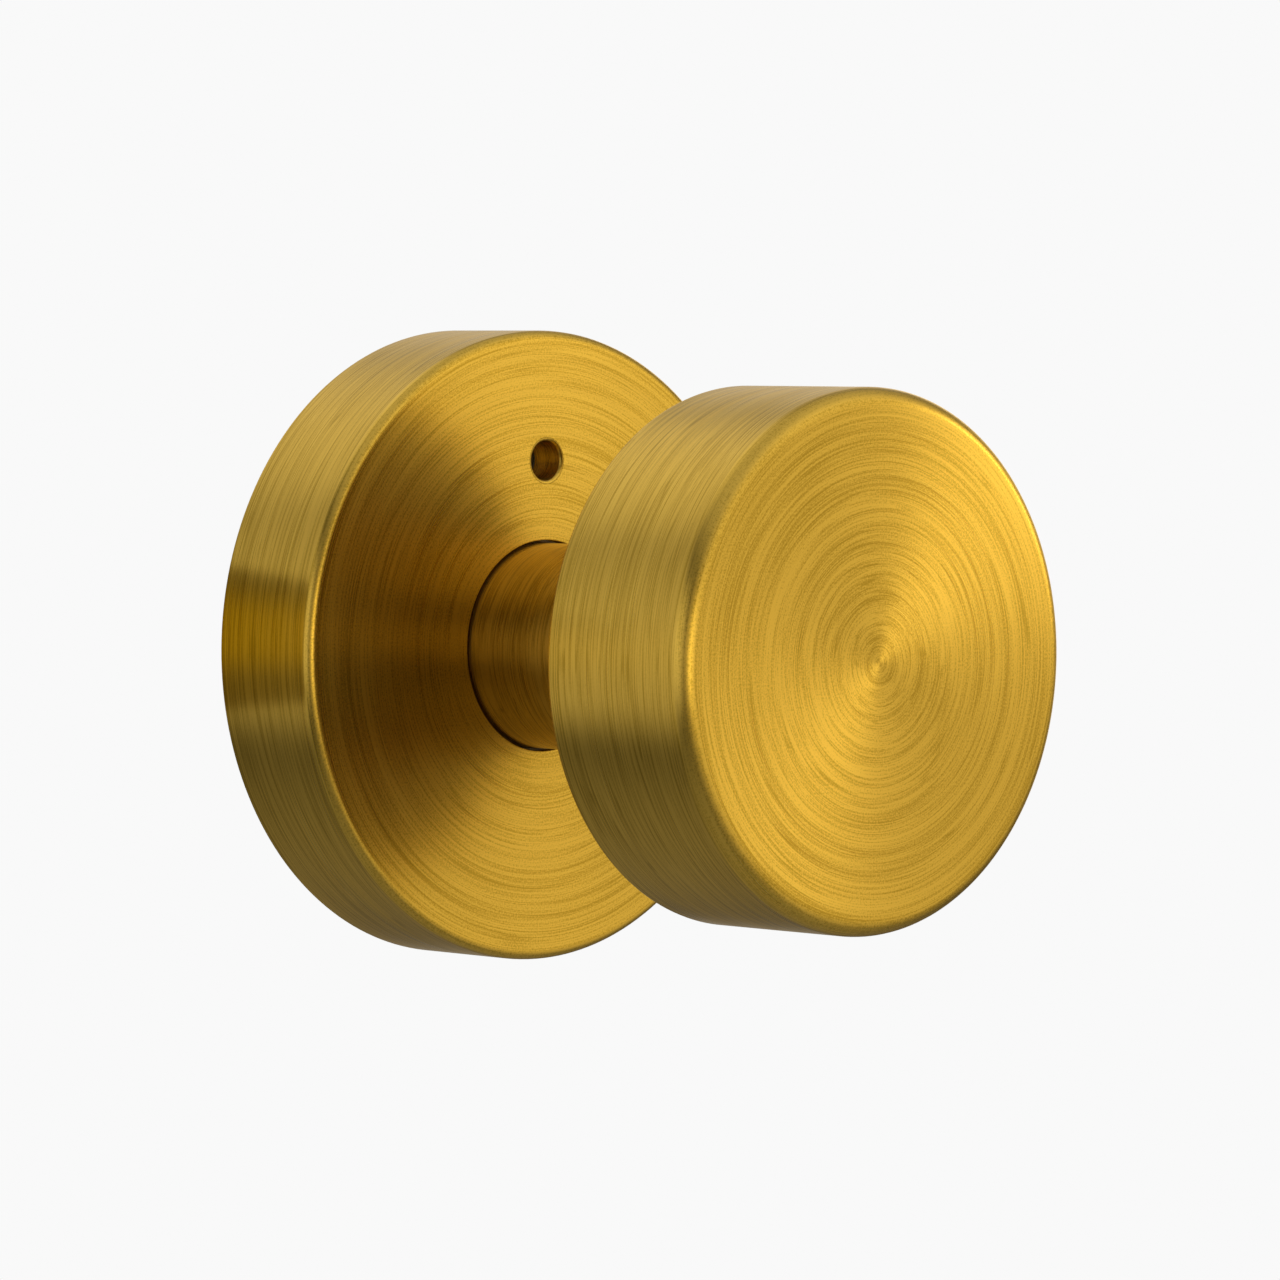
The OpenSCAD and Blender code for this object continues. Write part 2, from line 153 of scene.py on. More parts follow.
class KnobStudio(bpy.types.PropertyGroup):
    """The camera and the light."""

    azimuth: FloatProperty(
        name="Azimuth", description="Camera's turn to the left of the knob's front",
        default=math.radians(44.4), unit="ROTATION", subtype="ANGLE")
    elevation: FloatProperty(
        name="Elevation", description="Camera's height above level",
        default=math.radians(2.2), unit="ROTATION", subtype="ANGLE")
    roll: FloatProperty(
        name="Roll", description="Camera's tilt to the side",
        default=math.radians(0.6), unit="ROTATION", subtype="ANGLE")
    distance: FloatProperty(
        name="Distance", description="Camera's distance from the middle of the knob set",
        default=0.647, unit="LENGTH", subtype="DISTANCE")
    lens: FloatProperty(
        name="Lens", description="Focal length on a 36 mm sensor, in millimetres",
        default=178.5, min=20, max=400)
    backdrop: FloatProperty(
        name="Backdrop", description="Brightness of the pale backdrop and floor",
        default=0.947, min=0, max=2)


# Shader nodes as Python expressions


class Wire:
    """A shader socket that arithmetic works on: each operator adds a Math node."""

    def __init__(self, finish, socket):
        self.finish = finish
        self.socket = socket

    def __add__(self, other):
        return self.finish.math("ADD", self, other)

    def __sub__(self, other):
        return self.finish.math("SUBTRACT", self, other)

    def __rsub__(self, other):
        return self.finish.math("SUBTRACT", other, self)

    def __mul__(self, other):
        return self.finish.math("MULTIPLY", self, other)

    def __truediv__(self, other):
        return self.finish.math("DIVIDE", self, other)

    def __pow__(self, other):
        return self.finish.math("POWER", self, other)

    __radd__ = __add__
    __rmul__ = __mul__


class Finish:
    """A node tree, and the few ways in which its nodes are added."""

    def __init__(self, tree):
        self.tree = tree
        self.tree.nodes.clear()

    def node(self, kind, settings=None, sockets=None, output=0):
        """Adds a node: its settings first, then the values or links of its sockets."""
        made = self.tree.nodes.new("ShaderNode" + kind)
        for name, value in (settings or {}).items():
            setattr(made, name, value)
        for name, value in (sockets or {}).items():
            if isinstance(value, Wire):
                self.tree.links.new(value.socket, made.inputs[name])
            else:
                made.inputs[name].default_value = value
        return Wire(self, made.outputs[output]) if made.outputs else None

    def math(self, operation, *values):
        """A Math node on wires and numbers."""
        return self.node("Math", {"operation": operation}, dict(enumerate(values)))

    def step(self, value, start, end):
        """0 up to start, 1 past end and smooth between them."""
        return self.node("MapRange", {"interpolation_type": "SMOOTHSTEP"},
                         {"Value": value, "From Min": start, "From Max": end})

    def blend(self, share, first, second):
        """A colour between first and second."""
        return self.node("Mix", {"data_type": "RGBA"}, {0: share, 6: first, 7: second}, output=2)

    def parts(self, vector):
        """A vector's three parts."""
        made = self.node("SeparateXYZ", None, {0: vector}).socket.node
        return [Wire(self, socket) for socket in made.outputs]

    def noise(self, vector, detail=2.0, roughness=0.5, scale=1.0):
        """Noise from 0 to 1, most of it near 0.5."""
        return self.node("TexNoise", None, {
            "Vector": vector, "Scale": scale, "Detail": detail, "Roughness": roughness})

    def surface(self, **sockets):
        """The Principled shader and the output, with sockets named by words joined with underscores."""
        named = {name.replace("_", " "): value for name, value in sockets.items()}
        shader = self.node("BsdfPrincipled", None, named)
        self.node("OutputMaterial", None, {"Surface": shader})


def new_finish(name):
    """A new material and its empty node tree."""
    material = bpy.data.materials.new(name)
    material.use_nodes = True
    return material, Finish(material.node_tree)


def brushed_brass(name, axis=(0.0, 0.0), contrast=1.0, reach=1.0, painted_shade=1.0):
    """Brass brushed round an axis along Y, at axis in X and Z.

    The brushing is noise on (way round the axis, distance along the outline), so its lines run round
    a face and its side alike: long rings on the face, shorter streaks on the side. reach sets how
    often the lines break off on their way round and contrast how strong they are. The argument after
    reach paints shade: it darkens both brass colours for a piece that should look shaded.
    """
    look = bpy.context.scene.knob_finish
    material, f = new_finish(name)
    place = f.node("TexCoord", output="Object")
    x, y, z = f.parts(place)
    x = x - axis[0]
    z = z - axis[1]
    radius = f.math("MAXIMUM", (x * x + z * z) ** 0.5, 0.01 * MM)
    along = radius + y
    turn = f.math("MAXIMUM", radius, 4 * MM)
    facing = f.parts(f.node("NewGeometry", output="Normal"))[1] ** 2
    edge = facing * (1.0 - facing) * 4.0

    def lines(pitch, on_face, on_side, detail):
        breaks = (facing * (on_face - on_side) + on_side) * reach / turn
        way = f.node("CombineXYZ", None, {"X": x * breaks, "Y": z * breaks, "Z": along / pitch})
        return f.noise(way, detail) - 0.5

    hair = lines(0.11 * MM, 1.8, 2.6, 2.0)
    scratch = lines(0.26 * MM, 1.0, 1.5, 2.0)
    ring = lines(1.5 * MM, 0.4, 0.8, 1.0)
    grain = f.noise(place, 2.0, 0.6, 5 / MM) - 0.5
    dark_line = f.step(f.math("ABSOLUTE", lines(0.8 * MM, 0.6, 1.0, 0.0)), 0.035, 0.0)
    light_line = f.step(f.math("ABSOLUTE", lines(0.9 * MM, 0.45, 0.8, 0.0)), 0.03, 0.0)
    strength = (1.35 - facing * 0.35 - edge * 0.7) * contrast
    tone = (
        look.evenness
        + (hair * 2.4 + scratch * 1.5) * strength
        + (light_line * 0.28 - dark_line * 0.36) * strength
        + ring * (facing * 0.8 + 0.3) * contrast
        + grain * (facing + edge * 0.6 + 0.35) * (2.0 * contrast)
        + edge * 0.15
    )
    tone = f.math("MINIMUM", f.math("MAXIMUM", tone, 0.0), 1.0)
    # Painted shade: both brass colours are scaled down for a piece that should look shaded.
    bright, dull = (
        (*(painted_shade * channel for channel in brass), 1.0) for brass in (look.bright, look.dull))
    colour = f.blend(tone, dull, bright)
    rough = look.roughness + scratch * 0.12 + ring * 0.10
    relief = hair * 0.45 + scratch * 0.4 + grain * 0.15 - dark_line * 0.12
    normal = f.node("Bump", None, {
        "Strength": 0.35, "Distance": look.relief, "Height": relief})
    tangent = f.node("Tangent", {"direction_type": "RADIAL", "axis": "Y"})
    f.surface(
        Base_Color=colour, Metallic=1.0, Roughness=rough, Anisotropic=look.anisotropy,
        Anisotropic_Rotation=0.25, Tangent=tangent, Normal=normal)
    return material


def eased_edges(f):
    """1 on a chamfer or rounded edge that faces half outwards and half along Y, 0 on flats and sides."""
    facing = f.parts(f.node("NewGeometry", output="Normal"))[1] ** 2
    return f.step(facing * (1.0 - facing) * 4.0, 0.3, 0.9)


def cast_zinc(name):
    """Zinc as it comes from the die: a soft grey with a fine skin, and brighter where it is worn."""
    material, f = new_finish(name)
    place = f.node("TexCoord", output="Object")
    skin = f.noise(place, 4.0, 0.55, 3.2 / MM)
    flow = f.noise(place, 2.0, 0.5, 0.09 / MM)
    speck = f.step(f.noise(place, 1.0, 0.5, 1.1 / MM), 0.60, 0.66)
    worn = eased_edges(f)
    colour = f.blend(flow * 0.5 + skin * 0.5, (0.47, 0.475, 0.49, 1.0), (0.68, 0.685, 0.70, 1.0))
    colour = f.blend(speck * 0.15, colour, (0.36, 0.365, 0.38, 1.0))
    colour = f.blend(worn * 0.6, colour, (0.84, 0.84, 0.85, 1.0))
    rough = 0.34 + (skin - 0.5) * 0.22 + (flow - 0.5) * 0.12 - worn * 0.08
    normal = f.node("Bump", None, {"Strength": 0.22, "Distance": 0.03 * MM, "Height": skin})
    f.surface(Base_Color=colour, Metallic=1.0, Roughness=rough, Normal=normal)
    return material


def plated_steel(name):
    """Zinc plated steel: bright, with a faint straw and blue passivated bloom and drawn lines."""
    material, f = new_finish(name)
    place = f.node("TexCoord", output="Object")
    x, y, z = f.parts(place)
    drawn = f.noise(f.node("CombineXYZ", None, {
        "X": x / (0.14 * MM), "Y": y / (4 * MM), "Z": z / (0.14 * MM)}), 2.0)
    bloom = f.noise(place, 2.0, 0.5, 0.22 / MM)
    worn = eased_edges(f)
    tint = f.blend(f.step(bloom, 0.38, 0.62), (0.72, 0.77, 0.84, 1.0), (0.88, 0.85, 0.74, 1.0))
    colour = f.blend(f.step(drawn, 0.35, 0.75) * 0.4, tint, (0.55, 0.56, 0.58, 1.0))
    colour = f.blend(worn * 0.5, colour, (0.92, 0.92, 0.93, 1.0))
    normal = f.node("Bump", None, {"Strength": 0.15, "Distance": 0.015 * MM, "Height": drawn})
    f.surface(Base_Color=colour, Metallic=1.0, Roughness=0.20 + (drawn - 0.5) * 0.16, Normal=normal)
    return material


def spring_wire(name):
    """Drawn spring steel, oiled dark."""
    material, f = new_finish(name)
    place = f.node("TexCoord", output="Object")
    mottle = f.noise(place, 4.0, 0.6, 2.2 / MM)
    colour = f.blend(f.step(mottle, 0.3, 0.7), (0.10, 0.10, 0.11, 1.0), (0.30, 0.29, 0.29, 1.0))
    normal = f.node("Bump", None, {"Strength": 0.2, "Distance": 0.02 * MM, "Height": mottle})
    f.surface(Base_Color=colour, Metallic=1.0, Roughness=0.28 + mottle * 0.2, Normal=normal)
    return material


def moulded_nylon(name):
    """Natural nylon: milky, with a faint moulded texture."""
    material, f = new_finish(name)
    place = f.node("TexCoord", output="Object")
    cloud = f.noise(place, 3.0, 0.5, 0.5 / MM)
    skin = f.noise(place, 3.0, 0.6, 5 / MM)
    colour = f.blend(cloud, (0.78, 0.75, 0.66, 1.0), (0.90, 0.89, 0.83, 1.0))
    normal = f.node("Bump", None, {"Strength": 0.2, "Distance": 0.02 * MM, "Height": skin})
    f.surface(Base_Color=colour, Roughness=0.45 + (skin - 0.5) * 0.2, Normal=normal)
    return material


# Modelling


def deselect():
    """Leaves nothing selected, so that an operator acts on the new piece alone."""
    bpy.ops.object.select_all(action="DESELECT")


def activate(piece):
    """Selects this piece alone."""
    deselect()
    piece.select_set(True)
    bpy.context.view_layer.objects.active = piece


def direction(azimuth, elevation):
    """The unit vector at an azimuth from X and an elevation, both in degrees."""
    a, e = math.radians(azimuth), math.radians(elevation)
    return Vector((math.cos(a) * math.cos(e), math.sin(a) * math.cos(e), math.sin(e)))


def named(name):
    """Names the primitive that has just been added, and settles it at the origin."""
    piece = bpy.context.object
    piece.name = name
    piece.data.name = name
    bpy.ops.object.transform_apply(location=True, rotation=True, scale=True)
    return piece


def turned(name, outline, axis=(0.0, 0.0), sides=SIDES):
    """A piece turned about an axis along Y. Each ring is extruded from the one before.

    An outline that ends where it began closes on itself, and the ends of any other are capped.
    """
    across, upward = axis
    radius, y = outline[0]
    deselect()
    bpy.ops.mesh.primitive_circle_add(
        vertices=sides, radius=radius, location=(across, y, upward), rotation=(math.pi / 2, 0, 0))
    piece = named(name)
    bpy.ops.object.mode_set(mode="EDIT")
    bpy.ops.mesh.select_all(action="SELECT")
    for next_radius, next_y in outline[1:]:
        bpy.ops.mesh.extrude_edges_move(TRANSFORM_OT_translate={"value": (0, next_y - y, 0)})
        grow = next_radius / radius
        bpy.ops.transform.resize(value=(grow, 1, grow), center_override=(across, next_y, upward))
        radius, y = next_radius, next_y
    bpy.ops.mesh.select_all(action="SELECT")
    if math.dist(outline[0], outline[-1]) < SAME:
        bpy.ops.mesh.remove_doubles(threshold=SAME)
    else:
        bpy.ops.mesh.fill_holes(sides=0)
    bpy.ops.mesh.normals_make_consistent(inside=False)
    bpy.ops.object.mode_set(mode="OBJECT")
    return piece


def select_edges(piece, wanted):
    """Selects the edges whose two ends both pass a test, and leaves the piece in edit mode."""
    activate(piece)
    bpy.ops.object.mode_set(mode="EDIT")
    bpy.ops.mesh.select_mode(type="EDGE")
    bpy.ops.mesh.select_all(action="DESELECT")
    bpy.ops.object.mode_set(mode="OBJECT")
    points = piece.data.vertices
    for edge in piece.data.edges:
        edge.select = all(wanted(points[i].co) for i in edge.vertices)
    bpy.ops.object.mode_set(mode="EDIT")


def round_ring(piece, radius, y, by, axis=(0.0, 0.0), segments=6):
    """Rounds the ring edge at that radius and y."""

    def on_ring(point):
        off_axis = math.hypot(point.x - axis[0], point.z - axis[1])
        return abs(off_axis - radius) < 5 * SAME and abs(point.y - y) < 5 * SAME

    select_edges(piece, on_ring)
    bpy.ops.mesh.bevel(offset=by, segments=segments, affect="EDGES", clamp_overlap=False)
    bpy.ops.object.mode_set(mode="OBJECT")


def apply_modifier(piece, kind, **settings):
    """Adds a modifier with its settings and applies it."""
    activate(piece)
    modifier = piece.modifiers.new(kind.title(), kind)
    for name, value in settings.items():
        setattr(modifier, name, value)
    bpy.ops.object.modifier_apply(modifier=modifier.name)


def cut(piece, cutter):
    """Takes the cutter's shape out of the piece."""
    apply_modifier(piece, "BOOLEAN", object=cutter, operation="DIFFERENCE", solver="EXACT")
    bpy.data.objects.remove(cutter)


def eased_copy(node, name, width=None):
    """A copy of a CAD node's mesh, merged, with its sharp edges eased by a small chamfer."""
    piece = bpy.data.objects.new(name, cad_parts[node].data.copy())
    bpy.context.scene.collection.objects.link(piece)
    piece.data.name = name
    piece.data.materials.clear()
    activate(piece)
    bpy.ops.object.mode_set(mode="EDIT")
    bpy.ops.mesh.select_all(action="SELECT")
    bpy.ops.mesh.remove_doubles(threshold=SAME)
    bpy.ops.mesh.customdata_custom_splitnormals_clear()
    bpy.ops.mesh.dissolve_limited(angle_limit=math.radians(1.0))
    bpy.ops.object.mode_set(mode="OBJECT")
    width = bpy.context.scene.knob_sizes.eased_edge if width is None else width
    if width:
        apply_modifier(piece, "BEVEL", width=width, segments=2, limit_method="ANGLE",
                       angle_limit=math.radians(SHARP), use_clamp_overlap=True)
    return piece


def finish_piece(piece, body, slot, material, *nodes, smooth=32):
    """Gives a finished piece its shading, its material and the body that it moves with, and hides the
    CAD nodes that it stands for. The slot is not used.
    """
    activate(piece)
    bpy.ops.object.shade_smooth_by_angle(angle=math.radians(smooth))
    apply_modifier(piece, "WEIGHTED_NORMAL", keep_sharp=True, weight=100)
    piece.data.materials.clear()
    piece.data.materials.append(material)
    if body:
        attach(piece, body)
    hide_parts(*nodes)
    return piece


def finish_named(name, make):
    """The material of that name, made when it is first asked for."""
    return bpy.data.materials.get(name) or make(name)


def zinc():
    """The castings' material."""
    return finish_named("cast_zinc", cast_zinc)


def steel():
    """The plated parts' material."""
    return finish_named("plated_steel", plated_steel)


def wire():
    """The springs' and clips' material."""
    return finish_named("spring_wire", spring_wire)


def nylon():
    """The bearings' material."""
    return finish_named("moulded_nylon", moulded_nylon)


class Maker:
    """What every operator below shares."""

    bl_options = {"REGISTER", "UNDO"}


# Brass pieces


class KNOB_OT_rose(Maker, bpy.types.Operator):
    """Turn the rose and cut the release hole through its front"""

    bl_idname = "knob.rose"
    bl_label = "Rose"

    def execute(self, context):
        size = context.scene.knob_sizes
        radius = high("rose_cover").x
        front = low("rose_cover").y
        neck = high("neck_sleeve").x + size.neck_gap
        inside = radius - size.rose_wall
        roof = front + size.rose_wall
        back = high("rose_cover").y
        rose = turned("rose", [
            (neck, front), (radius, front), (radius, back), (inside, back), (inside, roof),
            (neck, roof), (neck, front)])
        round_ring(rose, radius, front, size.rose_edge, segments=8)
        round_ring(rose, neck, front, 0.12 * MM, segments=2)
        round_ring(rose, radius, back, 0.15 * MM, segments=2)
        hole = middle("release_bush")
        bpy.ops.mesh.primitive_cylinder_add(
            vertices=SMALL_SIDES, radius=size.release_bore + size.lip + 0.04 * MM, depth=4 * MM,
            location=(hole.x, front, hole.z), rotation=(math.pi / 2, 0, 0))
        cut(rose, named("release_hole_cutter"))
        finish_piece(rose, "rose", "satin_brass",
                     brushed_brass("rose_brass"), "rose_cover")
        return {"FINISHED"}


class KNOB_OT_release_liner(Maker, bpy.types.Operator):
    """Turn the liner of the release hole, with its rounded lip"""

    bl_idname = "knob.release_liner"
    bl_label = "Release hole liner"

    def execute(self, context):
        size = context.scene.knob_sizes
        place = middle("release_bush")
        axis = (place.x, place.z)
        bore = size.release_bore
        outside = bore + size.lip
        front = low("release_bush").y
        back = high("release_bush").y
        shoulder = high("release_bush").x - place.x
        seat = low("rose_cover").y + size.rose_wall + 0.05 * MM
        liner = turned("release_liner", [
            (bore, front), (outside, front), (outside, seat), (shoulder, seat),
            (shoulder, seat + 0.8 * MM), (outside, seat + 0.8 * MM), (outside, back), (bore, back),
            (bore, front)], axis=axis, sides=SMALL_SIDES)
        round_ring(liner, bore, front, size.lip * 0.95, axis=axis, segments=6)
        finish_piece(liner, "rose", "satin_brass",
                     brushed_brass("liner_brass", axis=axis, reach=0.5), "release_bush")
        return {"FINISHED"}


class KNOB_OT_neck(Maker, bpy.types.Operator):
    """Turn the neck's sleeve and drill it for the set screw"""

    bl_idname = "knob.neck"
    bl_label = "Neck"

    def execute(self, context):
        size = context.scene.knob_sizes
        radius = high("neck_sleeve").x
        bore = radius - size.neck_wall
        front = low("neck_sleeve").y
        back = high("neck_sleeve").y
        neck = turned("neck", [
            (radius, front), (radius, back), (bore, back), (bore, front), (radius, front)])
        round_ring(neck, radius, back, 0.2 * MM, segments=2)
        screw = middle("set_screw")
        hole = high("set_screw").x + 0.25 * MM
        bpy.ops.mesh.primitive_cylinder_add(
            vertices=SMALL_SIDES, radius=hole, depth=4 * MM,
            location=(screw.x, screw.y, -radius))
        cut(neck, named("set_screw_cutter"))
        # Painted shade: the neck's brass colour is scaled to three quarters, to look shaded between knob
        # and rose.
        finish_piece(neck, "knob", "satin_brass",
                     brushed_brass("neck_brass_painted_shade", contrast=1.2, reach=0.7, painted_shade=0.75), "neck_sleeve")
        return {"FINISHED"}


class KNOB_OT_knob_cup(Maker, bpy.types.Operator):
    """Turn the knob's cup, with its rounded front edge"""

    bl_idname = "knob.knob_cup"
    bl_label = "Knob cup"

    def execute(self, context):
        size = context.scene.knob_sizes
        radius = high("knob_shell").x
        front = low("knob_shell").y
        back = high("knob_shell").y
        inside = radius - size.knob_wall
        roof = front + size.knob_wall
        centre = 0.3 * MM
        cup = turned("knob_cup", [
            (centre, roof), (inside, roof), (inside, back), (radius, back), (radius, front),
            (inside - 2 * MM, front), (centre, front)])
        round_ring(cup, radius, front, size.knob_edge, segments=10)
        round_ring(cup, radius, back, size.knob_heel, segments=4)
        round_ring(cup, inside, back, 0.15 * MM, segments=2)
        finish_piece(cup, "knob", "satin_brass",
                     brushed_brass("knob_brass"), "knob_shell")
        return {"FINISHED"}


class KNOB_OT_knob_back(Maker, bpy.types.Operator):
    """Turn the plate that closes the knob's rear"""

    bl_idname = "knob.knob_back"
    bl_label = "Knob back"

    def execute(self, context):
        radius = high("knob_back_plate").x
        bore = high("neck_sleeve").x + 0.05 * MM
        front = low("knob_back_plate").y
        back = high("knob_back_plate").y
        plate = turned("knob_back", [
            (bore, back), (radius, back), (radius, front), (bore, front), (bore, back)])
        round_ring(plate, radius, back, 0.2 * MM, segments=3)
        round_ring(plate, bore, back, 0.1 * MM, segments=2)
        # Painted shade: the back plate's brass colour is scaled to a fifth, so that the rose shows a
        # dark reflection of it.
        finish_piece(plate, "knob", "satin_brass",
                     brushed_brass("back_brass_painted_shade", contrast=0.9, painted_shade=0.2), "knob_back_plate")
        return {"FINISHED"}


class KNOB_OT_castings(Maker, bpy.types.Operator):
    """Ease the edges of the zinc castings"""

    bl_idname = "knob.castings"
    bl_label = "Castings"

    def execute(self, context):
        for node, name, body in (
            ("base_plate", "base_casting", "rose"),
            ("neck_shank", "neck_casting", "knob"),
            ("knob_core", "knob_casting", "knob"),
        ):
            finish_piece(eased_copy(node, name), body, "zinc_casting", zinc(), node)
        return {"FINISHED"}


class KNOB_OT_steel_parts(Maker, bpy.types.Operator):
    """Ease the edges of the plated steel parts"""

    bl_idname = "knob.steel_parts"
    bl_label = "Steel parts"

    def execute(self, context):
        for node, name, body in (
            ("cage_cover", "cage", "rose"),
            ("cage_screws", "cage_screw_set", "rose"),
            ("bolt_posts", "posts", "rose"),
            ("core_screws", "core_screw_set", "knob"),
            ("spindle", "square_spindle", "knob"),
            ("spring_cam", "cam", "knob"),
            ("thrust_washer", "washer", "knob"),
            ("release_pin", "pin", "release"),
        ):
            finish_piece(eased_copy(node, name), body, "plated_steel", steel(), node)
        return {"FINISHED"}


class KNOB_OT_nylon_parts(Maker, bpy.types.Operator):
    """Ease the edges of the bearings and the pin's guide"""

    bl_idname = "knob.nylon_parts"
    bl_label = "Nylon parts"

    def execute(self, context):
        for node, name in (
            ("rear_bush", "rear_bearing"), ("front_bush", "front_bearing"),
            ("release_guide", "pin_guide"),
        ):
            finish_piece(eased_copy(node, name, SOFT), "rose", "nylon", nylon(), node)
        return {"FINISHED"}


class KNOB_OT_spring_parts(Maker, bpy.types.Operator):
    """Ease the edges of the circlip, snap ring and set screw"""

    bl_idname = "knob.spring_parts"
    bl_label = "Clips and set screw"

    def execute(self, context):
        for node, name, body in (
            ("rose_snap_ring", "snap_ring", "rose"),
            ("circlip", "shaft_clip", "knob"),
            ("set_screw", "grub_screw", "knob"),
        ):
            finish_piece(eased_copy(node, name, SOFT), body, "spring_steel", wire(), node)
        return {"FINISHED"}


class KNOB_OT_springs(Maker, bpy.types.Operator):
    """Finish the springs as fixed copies of their CAD coils"""

    bl_idname = "knob.springs"
    bl_label = "Springs"

    def execute(self, context):
        for side in ("left", "right"):
            node = "spring_" + side
            coil = finish_piece(eased_copy(node, "arc_spring_" + side, 0), None, "spring_steel",
                                wire(), node, smooth=60)
            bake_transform(coil)
        node = "release_spring"
        coil = finish_piece(eased_copy(node, "pin_spring", 0), None, "spring_steel", wire(), node,
                            smooth=60)
        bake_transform(coil)
        return {"FINISHED"}


class KNOB_OT_studio(Maker, bpy.types.Operator):
    """Set up the floor, the soft light and the camera"""

    bl_idname = "knob.studio"
    bl_label = "Studio"

    def execute(self, context):
        studio = context.scene.knob_studio
        context.scene.view_settings.view_transform = "Standard"
        self.floor(studio)
        self.lamp("knob_lamp", -31, 8, 9, 3.2, WARM, "knob_cup")
        self.lamp("rose_lamp", -45, 9, 10, 0.6, WARM, "rose", "release_liner")
        self.lamp("rear_lamp", 72, -8, 32, 0.5, PLAIN, "base_casting", "posts", "square_spindle",
                  "pin", "neck_casting", "shaft_clip", "washer", "rear_bearing")
        self.lamp("side_lamp", 24, 6, 18, 0.8, WARM, "knob_cup", "rose", "neck")
        self.lamp("steel_lamp", 12, 20, 22, 0.7, PLAIN, "posts", "square_spindle", "pin")
        self.card()
        self.world(context.scene, studio)
        self.camera(context.scene, studio)
        return {"FINISHED"}

    def floor(self, studio):
        """A pale floor, well below the knob."""
        deselect()
        bpy.ops.mesh.primitive_circle_add(
            vertices=SMALL_SIDES, radius=6.0, fill_type="NGON", location=(0, 0, -0.4))
        floor = named("floor")
        material, f = new_finish("pale_floor")
        glow = f.node("Emission", None, {
            "Color": (1.0, 1.0, 1.0, 1.0), "Strength": studio.backdrop})
        f.node("OutputMaterial", None, {"Surface": glow})
        floor.data.materials.append(material)
        floor.visible_glossy = False
        floor.visible_diffuse = False

    def lamp(self, name, azimuth, elevation, half, strength, colour, *pieces):
        """A round lamp a metre away, half degrees from its middle to its edge, for some pieces only."""
        way = direction(azimuth, elevation)
        radius = math.tan(math.radians(half))
        deselect()
        bpy.ops.object.light_add(
            type="AREA", location=way, rotation=way.to_track_quat("Z", "Y").to_euler())
        light = bpy.context.object
        light.name = name
        light.data.shape = "DISK"
        light.data.size = 2 * radius
        light.data.color = colour
        light.data.energy = strength * math.pi * math.pi * radius * radius
        light.visible_camera = False
        lit = bpy.data.collections.new(name)
        for piece in pieces:
            lit.objects.link(bpy.data.objects[piece])
        light.light_linking.receiver_collection = lit

    def card(self):
        """A card beside the rose, dark with a gold band, that the rose's side reflects."""
        deselect()
        bpy.ops.mesh.primitive_plane_add(
            size=1, location=(-50 * MM, 11 * MM, 1 * MM),
            rotation=(math.pi / 2, 0, math.radians(45)))
        bpy.context.object.scale = (34 * MM, 28 * MM, 1)
        card = named("card")
        material, f = new_finish("card")
        height = f.parts(f.node("TexCoord", output="Object"))[2] / MM
        band = f.step(height, -8.0, 0.0) * (1.0 - f.step(height, 5.0, 13.0))
        glow = f.blend(band, (0.12, 0.10, 0.04, 1.0), (0.27, 0.21, 0.01, 1.0))
        f.node("OutputMaterial", None, {"Surface": f.node("Emission", None, {"Color": glow})})
        card.data.materials.append(material)
        card.visible_camera = False
        card.visible_diffuse = False

    def world(self, scene, studio):
        """Light from all round, as in a tent.

        Each patch is azimuth, elevation, half its angle, the angle at its edge, strength and colour.
        """
        patches = (
            (-55, 5, 10, 55, 0.53, WARM),       # large box in front
            (-60, 75, 25, 70, 0.38, PLAIN),     # box overhead
            (0, -90, 20, 80, 0.16, PLAIN),      # light back from the floor
            (-99, 0, 3, 14, 1.7, WARM),         # strip that draws the line along the front edges
            (-99, 0, 8, 40, 0.22, WARM),        # softer glow round the strip
            (-170, 5, 8, 30, 0.6, PLAIN),       # box to the left, for the edges' outer half
            (145, 5, 18, 36, 0.46, PLAIN),      # box behind on the left, for the side walls
            (100, 45, 12, 35, 0.52, PLAIN),     # high box behind, for the walls' upper half
            (50, 10, 15, 35, 0.6, PLAIN),       # box behind on the right, for the top
        )
        scene.world = bpy.data.worlds.new("tent")
        scene.world.use_nodes = True
        f = Finish(scene.world.node_tree)
        toward = f.node("TexCoord", output="Generated")
        light = (0.05, 0.05, 0.05)
        for azimuth, elevation, half, edge, strength, colour in patches:
            way = direction(azimuth, elevation)
            near = f.node("VectorMath", {"operation": "DOT_PRODUCT"}, {0: toward, 1: way},
                          output="Value")
            lit = f.step(near, math.cos(math.radians(edge)), math.cos(math.radians(half)))
            lamp = [strength * channel for channel in colour]
            light = f.node("VectorMath", {"operation": "MULTIPLY_ADD"}, {0: lit, 1: lamp, 2: light})
        seen = f.node("LightPath", output="Is Camera Ray")
        tent = f.node("Background", None, {"Color": light})
        plain = f.node("Background", None, {
            "Color": (1.0, 1.0, 1.0, 1.0), "Strength": studio.backdrop})
        both = f.node("MixShader", None, {0: seen, 1: tent, 2: plain})
        f.node("OutputWorld", None, {"Surface": both})

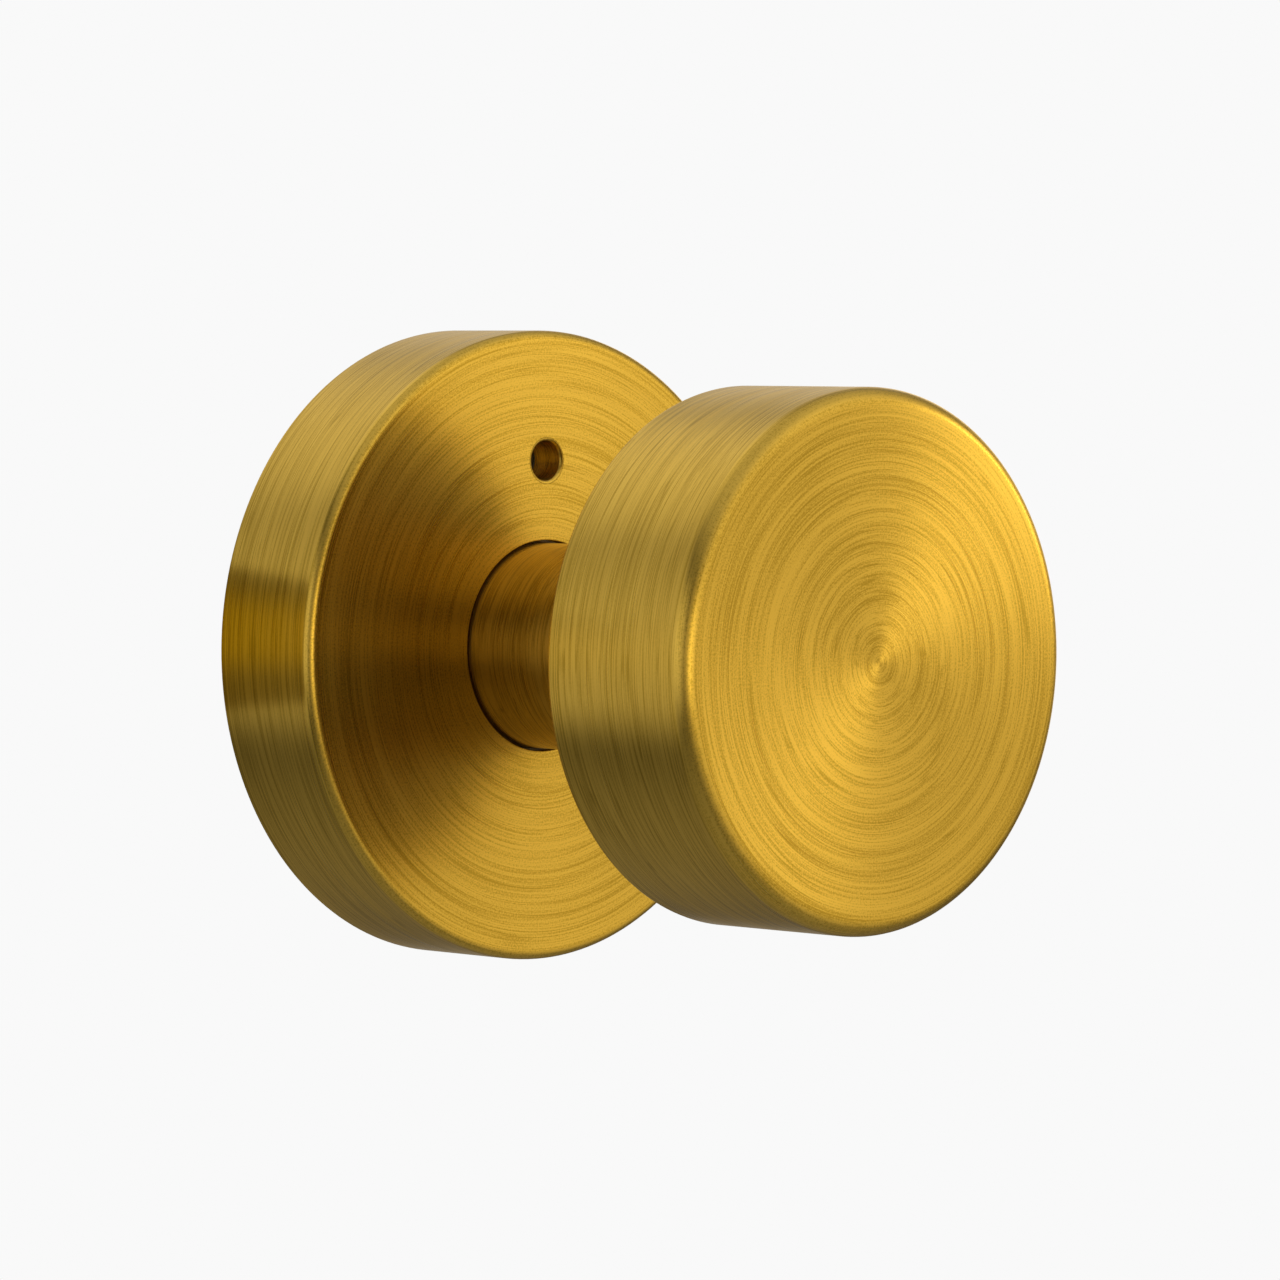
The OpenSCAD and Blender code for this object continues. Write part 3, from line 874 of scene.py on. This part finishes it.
    def camera(self, scene, studio):
        """The camera, turned to the left of the knob's front and a little above it."""
        azimuth = -studio.azimuth
        back = Vector((
            math.sin(azimuth) * math.cos(studio.elevation),
            -math.cos(azimuth) * math.cos(studio.elevation),
            math.sin(studio.elevation)))
        right = Vector((math.cos(azimuth), math.sin(azimuth), 0))
        aim = Vector((0, -25 * MM, 0)) + right * (1.7 * MM) + back.cross(right) * (1.0 * MM)
        deselect()
        bpy.ops.object.camera_add(location=aim + back * studio.distance)
        camera = bpy.context.object
        camera.name = "camera"
        camera.rotation_euler = back.to_track_quat("Z", "Y").to_euler()
        camera.rotation_euler.rotate_axis("Z", studio.roll)
        camera.data.lens = studio.lens
        camera.data.sensor_width = 36
        camera.data.clip_end = 20
        scene.camera = camera


class KNOB_PT_panel(bpy.types.Panel):
    """Lists the pieces and their settings in the sidebar"""

    bl_idname = "KNOB_PT_panel"
    bl_label = "Door knob"
    bl_space_type = "VIEW_3D"
    bl_region_type = "UI"
    bl_category = "Door knob"

    def draw(self, context):
        for group in (context.scene.knob_sizes, context.scene.knob_finish, context.scene.knob_studio):
            for name in group.__annotations__:
                self.layout.prop(group, name)
        for operator in MAKERS:
            self.layout.operator(operator.bl_idname)


GROUPS = {"knob_sizes": KnobSizes, "knob_finish": KnobFinish, "knob_studio": KnobStudio}
MAKERS = (
    KNOB_OT_rose,
    KNOB_OT_release_liner,
    KNOB_OT_neck,
    KNOB_OT_knob_cup,
    KNOB_OT_knob_back,
    KNOB_OT_castings,
    KNOB_OT_steel_parts,
    KNOB_OT_nylon_parts,
    KNOB_OT_spring_parts,
    KNOB_OT_springs,
    KNOB_OT_studio,
)
CLASSES = (*GROUPS.values(), *MAKERS, KNOB_PT_panel)


def register():
    for each in CLASSES:
        bpy.utils.register_class(each)
    for name, group in GROUPS.items():
        setattr(bpy.types.Scene, name, PointerProperty(type=group))


def unregister():
    for name in GROUPS:
        delattr(bpy.types.Scene, name)
    for each in reversed(CLASSES):
        bpy.utils.unregister_class(each)


def main():
    register()
    for maker in MAKERS:
        group, name = maker.bl_idname.split(".")
        getattr(getattr(bpy.ops, group), name)()


if __name__ == "__main__":
    main()
